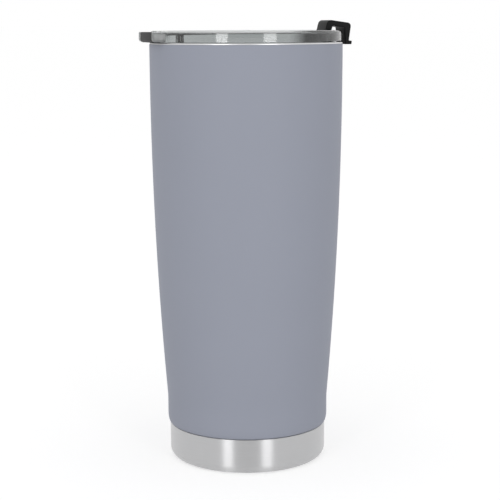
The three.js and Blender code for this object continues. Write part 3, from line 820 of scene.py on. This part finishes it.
class TUMBLER_OT_coated_wall(bpy.types.Operator):
    """Makes the coated outer wall, curled in above the base, with its hidden spigot"""

    bl_idname = "tumbler.coated_wall"
    bl_label = "Coated Wall"

    def execute(self, context):
        sizes = context.scene.tumbler_sizes
        edge = sizes.coat_edge / MM
        curl_top = SHELF + CURL_HEIGHT
        curl = arc(CURL_R - FOOT_R, curl_top, FOOT_R - CURL_R, CURL_HEIGHT, -90, 0, 10)
        reach = COAT_TOP - edge - curl_top
        heights = [curl_top + reach * k / 60 for k in range(1, 61)]
        rim = arc(-edge, COAT_TOP - edge, edge, edge, 0, 90, 5)[1:]
        rim += arc(edge - SHELL_WALL, COAT_TOP - edge, edge, edge, 90, 180, 5)
        spigot = SPIGOT_R - FOOT_R
        section = [(spigot, SHELL_LOW.z), (spigot, SHELF), *curl, *[(0, z) for z in heights], *rim]
        section += [(-SHELL_WALL, z) for z in reversed(heights[:-1])]
        section += [(spigot - SHELL_WALL, SHELF + SHELL_WALL), (spigot - SHELL_WALL, SHELL_LOW.z)]
        finish = finish_of(matt_powder_coat, context.scene.tumbler_colours.coat)
        piece = run_tree("coated_wall", section, tapered_wall_tree(finish), {
            "Mouth Radius": SHELL.x * MM, "Foot Radius": FOOT_R * MM, "Top": SHELL.z * MM,
            "Taper End": TAPER_END * MM, "Taper Power": sizes.taper_power, "Sides": SIDES,
        })
        settle(piece, "cup", finish, "outer_shell")
        return {"FINISHED"}


class TUMBLER_OT_liner(bpy.types.Operator):
    """Makes the bare steel liner with its buffed lip, and the disc of its floor"""

    bl_idname = "tumbler.liner"
    bl_label = "Liner"

    def execute(self, context):
        finish = finish_of(satin_stainless, context.scene.tumbler_colours.steel)
        corner_z = FLOOR.z + FLOOR_CORNER
        corner_r = liner_radius(corner_z) - FLOOR_CORNER
        neck = SHELL.z - NECK_DEPTH
        weld_r = SHELL.x - SHELL_WALL - SEAT_GAP
        lip_low = COAT_TOP + COAT_SEAM

        def outside(z):
            return liner_radius(z) + LINER_WALL

        lip_corners = [
            (BORE_R + LINER_WALL, SHELL.z - 2 * LIP_BAND, 0), (weld_r, SHELL.z - LIP_BAND, 0),
            (weld_r, lip_low, 0), (LIP_R, lip_low, 0.1), (LIP_R, LIP_TOP, 0.4),
            (BORE_R, LIP_TOP, 0.3), (BORE_R, neck, 0),
        ]
        outer_corner = FLOOR_CORNER + LINER_WALL
        section = arc(corner_r, corner_z, outer_corner, outer_corner, -90, 0, 16)
        section += wall(outside, corner_z, neck - NECK_BLEND, 40)[1:]
        section += wall(outside, neck - NECK_BLEND, neck, 16)[1:]
        section += [tuple(p) for p in rounded(lip_corners)]
        section += wall(liner_radius, neck, neck - NECK_BLEND, 16)[1:]
        section += wall(liner_radius, neck - NECK_BLEND, corner_z, 40)[1:]
        section += arc(corner_r, corner_z, FLOOR_CORNER, FLOOR_CORNER, 0, -90, 16)[1:]
        piece = piece_of("steel_liner", turned(section))
        settle(piece, "cup", finish, "inner_liner")
        edge = 0.15
        corners = [
            (0, FLOOR_LOW.z, 0), (FLOOR.x, FLOOR_LOW.z, edge), (FLOOR.x, FLOOR.z, edge),
            (0, FLOOR.z, 0),
        ]
        piece = piece_of("floor_disc", turned(rounded(corners)))
        settle(piece, "cup", finish, "liner_bottom")
        return {"FINISHED"}


class TUMBLER_OT_base(bpy.types.Operator):
    """Makes the bare steel base that the cup stands on"""

    bl_idname = "tumbler.base"
    bl_label = "Base"

    def execute(self, context):
        ring_r = CAP.x - CAP_CORNER
        recess_r = ring_r - FOOT_RING
        inner_corner = CAP_CORNER - CAP_WALL
        corners = [
            (0, FOOT_RECESS, 0), (recess_r - FOOT_SLOPE, FOOT_RECESS, RECESS_BEND),
            (recess_r, 0, FOOT_BEND), (CAP.x, 0, CAP_CORNER), (CAP.x, CAP.z, CAP_EDGE),
            (CAP.x - CAP_WALL, CAP.z, CAP_EDGE), (CAP.x - CAP_WALL, CAP_WALL, inner_corner),
            (recess_r + CAP_WALL / 2, CAP_WALL, FOOT_BEND),
            (recess_r - FOOT_SLOPE + CAP_WALL / 2, FOOT_RECESS + CAP_WALL, RECESS_BEND),
            (0, FOOT_RECESS + CAP_WALL, 0),
        ]
        piece = piece_of("steel_base", turned(rounded(corners, 12)))
        finish = finish_of(brushed_stainless, context.scene.tumbler_colours.base)
        settle(piece, "cup", finish, "base_cap")
        return {"FINISHED"}


class TUMBLER_OT_vacuum_parts(bpy.types.Operator):
    """Makes what is hidden in the vacuum: foil, closing disc, glass seal, getter and its dish"""

    bl_idname = "tumbler.vacuum_parts"
    bl_label = "Vacuum Parts"

    def execute(self, context):
        steel = finish_of(satin_stainless, context.scene.tumbler_colours.steel)

        def foil_inside(z):
            return liner_radius(z) + LINER_WALL + SEAT_GAP

        def foil_outside(z):
            return foil_inside(z) + FOIL_WALL

        section = wall(foil_outside, FOIL_LOW.z, FOIL.z, 30)
        section += wall(foil_inside, FOIL.z, FOIL_LOW.z, 30)
        piece = piece_of("foil_wrap", turned(section))
        settle(piece, "cup", finish_of(copper_foil_finish), "copper_foil")

        top = DISC_LOW.z + DISC_WALL
        slope_r = DIMPLE_R + DIMPLE_RISE
        corners = [
            (PORT_R, DISC_LOW.z + DIMPLE_RISE, 0.1),
            (DIMPLE_R, DISC_LOW.z + DIMPLE_RISE, DIMPLE_BEND), (slope_r, DISC_LOW.z, DIMPLE_BEND),
            (DISC.x, DISC_LOW.z, DISC_CORNER), (DISC.x, DISC.z, 0.2),
            (DISC.x - DISC_WALL, DISC.z, 0.2), (DISC.x - DISC_WALL, top, DISC_CORNER - DISC_WALL),
            (slope_r + DISC_WALL / 2, top, DIMPLE_BEND),
            (DIMPLE_R + DISC_WALL / 2, top + DIMPLE_RISE, DIMPLE_BEND),
            (PORT_R, top + DIMPLE_RISE, 0.1),
        ]
        piece = piece_of("closing_disc", turned(rounded(corners)))
        settle(piece, "cup", steel, "vacuum_bottom")

        dome = arc(0, BEAD.z, BEAD.x, BEAD.z - BEAD_LOW.z, -90, 0, 12)[1:]
        section = [(0, BEAD_LOW.z), *dome, (0, BEAD.z)]
        piece = piece_of("glass_bead", turned(section, SMALL_SIDES))
        settle(piece, "cup", finish_of(fused_glass), "seal_bead")

        centre = (DISH_LOW.x + DISH.x) / 2
        dish_r = DISH.x - centre
        pellet_r = PELLET.x - centre
        dish_floor = DISH_LOW.z + DISH_WALL
        dish_corners = [
            (0, DISH_LOW.z, 0), (dish_r, DISH_LOW.z, 0.45), (dish_r, DISH.z, 0.2),
            (dish_r - DISH_WALL, DISH.z, 0.2), (dish_r - DISH_WALL, dish_floor, 0.15),
            (0, dish_floor, 0),
        ]
        pellet_corners = [
            (0, PELLET_LOW.z, 0), (pellet_r, PELLET_LOW.z, 0.25), (pellet_r, PELLET.z, 0.25),
            (0, PELLET.z, 0),
        ]
        beside = Matrix.Translation((centre, 0, 0))
        for name, corners, slot, finish, node in [
            ("getter_dish", dish_corners, "liner_steel", steel, "getter_cup"),
            ("getter_pellet", pellet_corners, "getter_metal", finish_of(sintered_getter), "getter"),
        ]:
            bm = turned(rounded(corners), SMALL_SIDES)
            bm.transform(beside)
            settle(piece_of(name, bm), "cup", finish, node)
        return {"FINISHED"}


class TUMBLER_OT_lid(bpy.types.Operator):
    """Makes the clear lid: plate with a raised bead, skirt, hinge ears, channel and holes"""

    bl_idname = "tumbler.lid"
    bl_label = "Lid"

    def execute(self, context):
        edge = context.scene.tumbler_sizes.lid_edge / MM
        corners = [
            (0, LID_BOTTOM, 0), (SKIRT_R, LID_BOTTOM, 0.6), (SKIRT_R, LID_LOW.z, 0.4),
            (RIDGE_R, LID_LOW.z, 0.4), (RIDGE_R, RIDGE_TOP, 0.25), (GROOVE_R, RIDGE_TOP, 0.3),
            (GROOVE_R, LID_BOTTOM, 0.2), (RIM_IN, LID_BOTTOM, 0.1),
            (RIM_IN, RIM_BOTTOM, 0.1), (LID_R, RIM_BOTTOM, 0.12), (LID_R, LID.z, edge),
            (BEAD_R, LID.z, 0.5), (BEAD_R, PLATE_TOP, 0.4), (0, PLATE_TOP, 0),
        ]
        piece = piece_of("clear_lid", turned(rounded(corners)))
        low, high = LID_BOTTOM - PAST, LID.z + PAST
        edge_x = -LID_R - PAST
        combine(piece, box((edge_x, -FLAT_HALF, low), (FLAT_X, FLAT_HALF, high)), "DIFFERENCE")
        inner = GROOVE_R + PAST
        relief = turned([
            (inner, low - PAST), (LID_R + PAST, low - PAST), (LID_R + PAST, RIM_BOTTOM),
            (inner, RIM_BOTTOM),
        ])
        tilt = math.atan(RELIEF / (LID_R - RELIEF_X))
        start = Matrix.Translation((RELIEF_X, 0, RIM_BOTTOM))
        relief.transform(start @ Matrix.Rotation(-tilt, 4, "Y") @ start.inverted())
        combine(piece, relief, "DIFFERENCE")
        ear_corners = [
            (LID_LOW.x, LID_BOTTOM, EAR_LOW_CORNER), (FLAT_X + EAR_ROOT, LID_BOTTOM, 0),
            (FLAT_X + EAR_ROOT, BLOCK_TOP, 0), (LID_LOW.x, BLOCK_TOP, EAR_EDGE),
        ]
        ear_half = (PIN.y - FLAT_HALF) / 2
        for side in (1, -1):
            bm = slab(ear_corners, ear_half, EAR_CROWN)
            bm.transform(Matrix.Translation((0, side * (FLAT_HALF + ear_half), 0)))
            combine(piece, bm, "UNION")
        channel_half = ARM_HALF + PLAY
        channel = box((edge_x, -channel_half, CHANNEL), (LEG_X + 2 * PLAY, channel_half, high))
        combine(piece, channel, "DIFFERENCE")
        combine(piece, pin_bore(PIN.y - PIN_COVER), "DIFFERENCE")
        for x, size in ((DRINK_X, DRINK_HOLE), (VENT_X, VENT_HOLE)):
            combine(piece, column(x, size, [(0, low), (0, CHANNEL + PAST)]), "DIFFERENCE")
        triangulate(piece)
        finish = finish_of(clear_copolymer, context.scene.tumbler_colours.lid)
        settle(piece, "lid", finish, "lid_body", 30)
        return {"FINISHED"}


class TUMBLER_OT_gasket(bpy.types.Operator):
    """Makes the soft ring in the skirt's groove, with its fins"""

    bl_idname = "tumbler.gasket"
    bl_label = "Gasket"

    def execute(self, context):
        fins = context.scene.tumbler_sizes.fins
        pitch = (GASKET.z - GASKET_LOW.z) / fins
        inner_r = GROOVE_R + SEAT_GAP
        band_r = inner_r + BAND
        top = GASKET_LOW.z + (pitch + FIN_ROOT) / 2
        tip = FIN_TIP / 2
        fin = [
            (band_r, top - FIN_ROOT), *arc(GASKET.x - tip, top - tip, tip, tip, -90, 90, 8),
            (band_r, top),
        ]
        rest = [
            (band_r, GASKET.z), (inner_r, GASKET.z), (inner_r, GASKET_LOW.z),
            (band_r, GASKET_LOW.z),
        ]
        finish = finish_of(black_silicone, context.scene.tumbler_colours.silicone)
        piece = run_tree("silicone_gasket", [*fin, *rest], finned_ring_tree(finish), {
            "Fin Points": len(fin), "Fins": fins, "Pitch": pitch * MM, "Sides": SIDES,
        })
        settle(piece, "lid", finish, "lid_gasket")
        return {"FINISHED"}


class TUMBLER_OT_arm(bpy.types.Operator):
    """Makes the arm: hinge block, strap, and the arch with its pull tab"""

    bl_idname = "tumbler.arm"
    bl_label = "Arm"

    def execute(self, context):
        edge = context.scene.tumbler_sizes.arm_edge / MM
        edge = min(edge, (STRAP_TOP - STRAP_LOW - STRAP_FLAT) / 2)
        slope = math.tan(ARCH_SLOPE)
        leg_in = LEG_X - LEG_WIDTH
        foot_out = FOOT_X + FOOT_WIDTH
        top_in = Vector((leg_in + ARCH_RISE * math.tan(LEG_LEAN), ARM_TOP + ARCH_RISE))
        top_out_x = (foot_out + (top_in.y + top_in.x * slope - FOOT_Z) * slope) / (1 + slope ** 2)
        top_out = Vector((top_out_x, top_in.y - (top_out_x - top_in.x) * slope))
        under_in = Vector((top_in.x + LEG_WIDTH, top_in.y - BEAM_DEPTH - LEG_WIDTH * slope))
        under_out_x = FOOT_X - LEG_SPREAD
        under_out_z = top_out.y - BEAM_DEPTH + (top_out.x - under_out_x) * slope
        under_out = Vector((under_out_x, under_out_z))
        tab_end = foot_out + TAB_REACH
        tab_top = FOOT_Z + TAB_HEIGHT
        strap = [
            (PIN_X, STRAP_LOW, 0), (LEG_X, STRAP_LOW, CREASE), (*under_in, CREASE),
            (*under_out, CREASE), (FOOT_X, FOOT_Z, TAB_CORNER), (tab_end, FOOT_Z, TAB_CORNER),
            (tab_end + TAB_LEAN, tab_top, TAB_CORNER),
            (foot_out + TAB_HEIGHT * slope, tab_top, 0.3), (*top_out, 1.6), (*top_in, 2.1),
            (leg_in, STRAP_TOP, CREASE), (PIN_X, STRAP_TOP, 0),
        ]
        block = [
            (ARM_LOW.x, BLOCK_BOTTOM, 1.3), (BLOCK_IN, BLOCK_BOTTOM, 1.9),
            (BLOCK_IN, BLOCK_TOP, 0.6), (ARM_LOW.x, BLOCK_TOP, 0.6),
        ]
        piece = piece_of("flip_arm_moulding", slab(strap, ARM_HALF, edge))
        combine(piece, slab(block, ARM.y, edge), "UNION")
        combine(piece, pin_bore(ARM.y + PAST), "DIFFERENCE")
        for x, size in ((DRINK_X, DRINK_SEAT), (VENT_X, VENT_SEAT)):
            pocket = column(x, size, [(0, STRAP_LOW - PAST), (0, STRAP_LOW + SEAT_DEPTH)])
            combine(piece, pocket, "DIFFERENCE")
        triangulate(piece)
        finish = finish_of(black_polypropylene, context.scene.tumbler_colours.arm)
        settle(piece, "arm", finish, "flip_arm", 30)
        return {"FINISHED"}


class TUMBLER_OT_plugs(bpy.types.Operator):
    """Makes the two soft plugs seated in the arm"""

    bl_idname = "tumbler.plugs"
    bl_label = "Plugs"

    def execute(self, context):
        finish = finish_of(black_silicone, context.scene.tumbler_colours.silicone)
        top = STRAP_LOW - SEAT_GAP
        stem_top = STRAP_LOW + SEAT_DEPTH - SEAT_GAP
        for name, node, low, high, rim, edge in [
            ("drink_plug_rubber", "drink_plug", PLUG_LOW, PLUG, 1, 0.4),
            ("vent_plug_rubber", "vent_plug", VENT_LOW, VENT, 0.4, 0.25),
        ]:
            size = (high.x - low.x, high.y - low.y)
            nose = arc(PLUG_DRAFT + edge, low.z + edge, edge, edge, 270, 180, 5)
            shoulder, stem = [
                arc(inward + PLUG_EDGE, z - PLUG_EDGE, PLUG_EDGE, PLUG_EDGE, 180, 90, 4)
                for inward, z in ((0, top), (rim, stem_top))
            ]
            profile = [*nose, *shoulder, (rim, top), *stem]
            piece = piece_of(name, column((low.x + high.x) / 2, size, profile))
            settle(piece, "arm", finish, node)
        return {"FINISHED"}


class TUMBLER_OT_pin(bpy.types.Operator):
    """Makes the hinge pin with its rounded ends"""

    bl_idname = "tumbler.pin"
    bl_label = "Hinge Pin"

    def execute(self, context):
        half = arc(PIN_R - PIN_DOME, PIN_END - PIN_DOME, PIN_DOME, PIN_DOME, 0, 90, 6)
        section = [(0, -PIN_END), *[(r, -y) for r, y in reversed(half)], *half, (0, PIN_END)]
        finish = finish_of(drawn_stainless, context.scene.tumbler_colours.steel)
        settle(piece_of("steel_pin", across(section)), "lid", finish, "hinge_pin")
        return {"FINISHED"}


# Camera and studio, in metres, with azimuths in degrees from the camera's
CAMERA_AZIMUTH = math.radians(-17)
CAMERA_DISTANCE = 0.62635
CAMERA_HEIGHT = 0.19484
CAMERA_LENS = 101.13  # in millimetres
CAMERA_YAW = math.radians(0.133)
CAMERA_TILT = math.radians(90 - 9.128)
CAMERA_ROLL = math.radians(-0.2)
FLOOR_R = 60
FLOOR_GREY = 0.8
FLOOR_GLOW = 0.43  # makes up what the floor's grey lacks to white
ROOM_LIGHT = 0.71  # strength of the room for the light that it gives
BACKDROP_AZIMUTH = 165  # middle of the bright part behind the cup
BACKDROP_EDGES = (0.834, 0.731)  # cosines of the angles from it at which the flags begin and end
FLAG_SHADE = 0.95
FRONT_EDGES = (0.75, 0.97)  # the same from the camera's side, for what greys the base's middle
FRONT_SHADE = 0.5
SHADE_HEIGHTS = (0.45, 0.75)  # sines of the elevations between which all shade ends
SOFTBOX_DISTANCE = 1.3
SOFTBOX_MIDDLE = 0.27  # its middle's height above the floor
SOFTBOX_HEIGHT = 0.5
SOFTBOX_POWER = 2.45  # watts
SOFTBOXES = (("left", -28, 0.31), ("right", 28, 0.34))  # side, azimuth and width
AIM_HEIGHT = 0.15


def away(azimuth, distance, height):
    """Point at a distance from the axis, its azimuth counted in degrees from the camera's."""
    angle = CAMERA_AZIMUTH + math.radians(azimuth)
    return Vector((math.sin(angle) * distance, -math.cos(angle) * distance, height))


def looking_rays(tree):
    """The kinds of rays, and whether one comes from the camera, a mirror or the clear plastic."""
    rays = add(tree, "ShaderNodeLightPath").outputs
    seen = add(tree, "MAXIMUM", [rays["Is Camera Ray"], rays["Is Glossy Ray"]])
    return rays, add(tree, "MAXIMUM", [seen, rays["Is Transmission Ray"]])


def flags(tree, direction, rays):
    """Shade of the flags beside the bright part behind the cup, for rays from the clear lid."""
    behind = add(
        tree, "ShaderNodeVectorMath", [direction, away(BACKDROP_AZIMUTH, 1, 0)],
        operation="DOT_PRODUCT",
    ).outputs["Value"]
    beside = add(tree, "ShaderNodeMapRange", {
        "Value": behind, "From Min": BACKDROP_EDGES[0], "From Max": BACKDROP_EDGES[1],
        "To Max": FLAG_SHADE,
    })
    through = add(tree, "GREATER_THAN", [rays["Transmission Depth"], 0.5])
    return add(tree, "MULTIPLY", [beside, through])


class TUMBLER_OT_stage(bpy.types.Operator):
    """Makes the floor, the light and the camera"""

    bl_idname = "tumbler.stage"
    bl_label = "Stage"

    def execute(self, context):
        scene = context.scene
        self.floor(scene)
        self.light(scene)
        data = bpy.data.cameras.new("camera")
        data.lens = CAMERA_LENS
        data.clip_end = 500
        camera = bpy.data.objects.new("camera", data)
        camera.location = away(0, CAMERA_DISTANCE, CAMERA_HEIGHT)
        yaw = Matrix.Rotation(CAMERA_AZIMUTH - CAMERA_YAW, 3, "Z")
        pitch = Matrix.Rotation(CAMERA_TILT, 3, "X")
        roll = Matrix.Rotation(CAMERA_ROLL, 3, "Z")
        camera.rotation_euler = (yaw @ pitch @ roll).to_euler()
        scene.collection.objects.link(camera)
        scene.camera = camera
        scene.view_settings.view_transform = "Standard"
        return {"FINISHED"}

    def floor(self, scene):
        """Pale floor that keeps the object's shadow and is white where it is lit."""
        bm = bmesh.new()
        bmesh.ops.create_circle(bm, cap_ends=True, segments=64, radius=FLOOR_R)
        mesh = bpy.data.meshes.new("floor")
        bm.to_mesh(mesh)
        bm.free()
        floor = bpy.data.objects.new("floor", mesh)
        floor.location.z = -0.05 * MM
        scene.collection.objects.link(floor)
        tree, where, made = begin("pale_floor")
        rays, seen = looking_rays(tree)
        direction = add(tree, "ShaderNodeVectorMath", [where], operation="NORMALIZE")
        dark = flags(tree, direction, rays)
        pale = add(tree, "SUBTRACT", [1.0, dark])
        strength = add(tree, "MULTIPLY", [seen, FLOOR_GLOW])
        strength = add(tree, "MULTIPLY", [strength, pale])
        close(tree, {
            "Base Color": add(
                tree, "ShaderNodeMix",
                {"Factor": dark, 6: [FLOOR_GREY, FLOOR_GREY, FLOOR_GREY, 1], 7: [0, 0, 0, 1]},
                data_type="RGBA",
            ).outputs[2],
            "Roughness": 1.0,
            "Specular IOR Level": 0.0,
            "Emission Color": [1, 1, 1, 1],
            "Emission Strength": strength,
        })
        mesh.materials.append(made)

    def light(self, scene):
        """White studio, dimmer for the light it gives, and an upright softbox on either side."""
        world = bpy.data.worlds.new("studio")
        world.use_nodes = True
        tree = world.node_tree
        tree.nodes.clear()
        rays, seen = looking_rays(tree)
        ray = add(tree, "ShaderNodeTexCoord").outputs["Generated"]
        toward = add(
            tree, "ShaderNodeVectorMath", [ray, away(0, 1, 0)], operation="DOT_PRODUCT",
        ).outputs["Value"]
        front = add(tree, "ShaderNodeMapRange", {
            "Value": toward, "From Min": FRONT_EDGES[0], "From Max": FRONT_EDGES[1],
            "To Max": FRONT_SHADE,
        })
        low = add(tree, "ShaderNodeMapRange", {
            "Value": add(tree, "ShaderNodeSeparateXYZ", [ray]).outputs["Z"],
            "From Min": SHADE_HEIGHTS[0], "From Max": SHADE_HEIGHTS[1],
            "To Min": 1.0, "To Max": 0.0,
        })
        dark = add(tree, "MAXIMUM", [front, flags(tree, ray, rays)])
        dark = add(tree, "MULTIPLY", [dark, low])
        room = add(tree, "SUBTRACT", [1.0, dark])
        unseen = add(tree, "SUBTRACT", [1.0, rays["Is Camera Ray"]])
        mirrored = add(tree, "ShaderNodeMix", {"Factor": unseen, "A": 1.0, "B": room})
        strength = add(tree, "ShaderNodeMix", {"Factor": seen, "A": ROOM_LIGHT, "B": mirrored})
        back = add(tree, "ShaderNodeBackground", {"Color": [1, 1, 1, 1], "Strength": strength})
        add(tree, "ShaderNodeOutputWorld", {"Surface": back})
        scene.world = world
        for name, azimuth, width in SOFTBOXES:
            data = bpy.data.lights.new(f"softbox_{name}", "AREA")
            data.shape = "RECTANGLE"
            data.size = width
            data.size_y = SOFTBOX_HEIGHT
            data.energy = SOFTBOX_POWER
            lamp = bpy.data.objects.new(f"softbox_{name}", data)
            lamp.location = away(azimuth, SOFTBOX_DISTANCE, SOFTBOX_MIDDLE)
            aim = Vector((0, 0, AIM_HEIGHT)) - lamp.location
            lamp.rotation_euler = aim.to_track_quat("-Z", "Y").to_euler()
            lamp.visible_camera = False
            scene.collection.objects.link(lamp)


class TUMBLER_PT_panel(bpy.types.Panel):
    """Lists the tumbler's pieces, sizes and colours"""

    bl_idname = "TUMBLER_PT_panel"
    bl_label = "Tumbler"
    bl_space_type = "VIEW_3D"
    bl_region_type = "UI"
    bl_category = "Tumbler"

    def draw(self, context):
        for group in (context.scene.tumbler_sizes, context.scene.tumbler_colours):
            for name in group.__annotations__:
                self.layout.prop(group, name)
        for operator in OPERATORS:
            self.layout.operator(operator.bl_idname)


OPERATORS = (
    TUMBLER_OT_coated_wall, TUMBLER_OT_liner, TUMBLER_OT_base, TUMBLER_OT_vacuum_parts,
    TUMBLER_OT_lid, TUMBLER_OT_gasket, TUMBLER_OT_arm, TUMBLER_OT_plugs, TUMBLER_OT_pin,
    TUMBLER_OT_stage,
)
CLASSES = (TumblerSizes, TumblerColours, *OPERATORS, TUMBLER_PT_panel)


def register():
    """Registers the classes and gives the scene its sizes and colours."""
    for cls in CLASSES:
        bpy.utils.register_class(cls)
    bpy.types.Scene.tumbler_sizes = PointerProperty(type=TumblerSizes)
    bpy.types.Scene.tumbler_colours = PointerProperty(type=TumblerColours)


def unregister():
    """Takes away what register gave."""
    del bpy.types.Scene.tumbler_colours
    del bpy.types.Scene.tumbler_sizes
    for cls in reversed(CLASSES):
        bpy.utils.unregister_class(cls)


def main():
    """Builds every piece and the stage."""
    register()
    for operator in OPERATORS:
        group, name = operator.bl_idname.split(".")
        getattr(getattr(bpy.ops, group), name)()


if __name__ == "__main__":
    main()
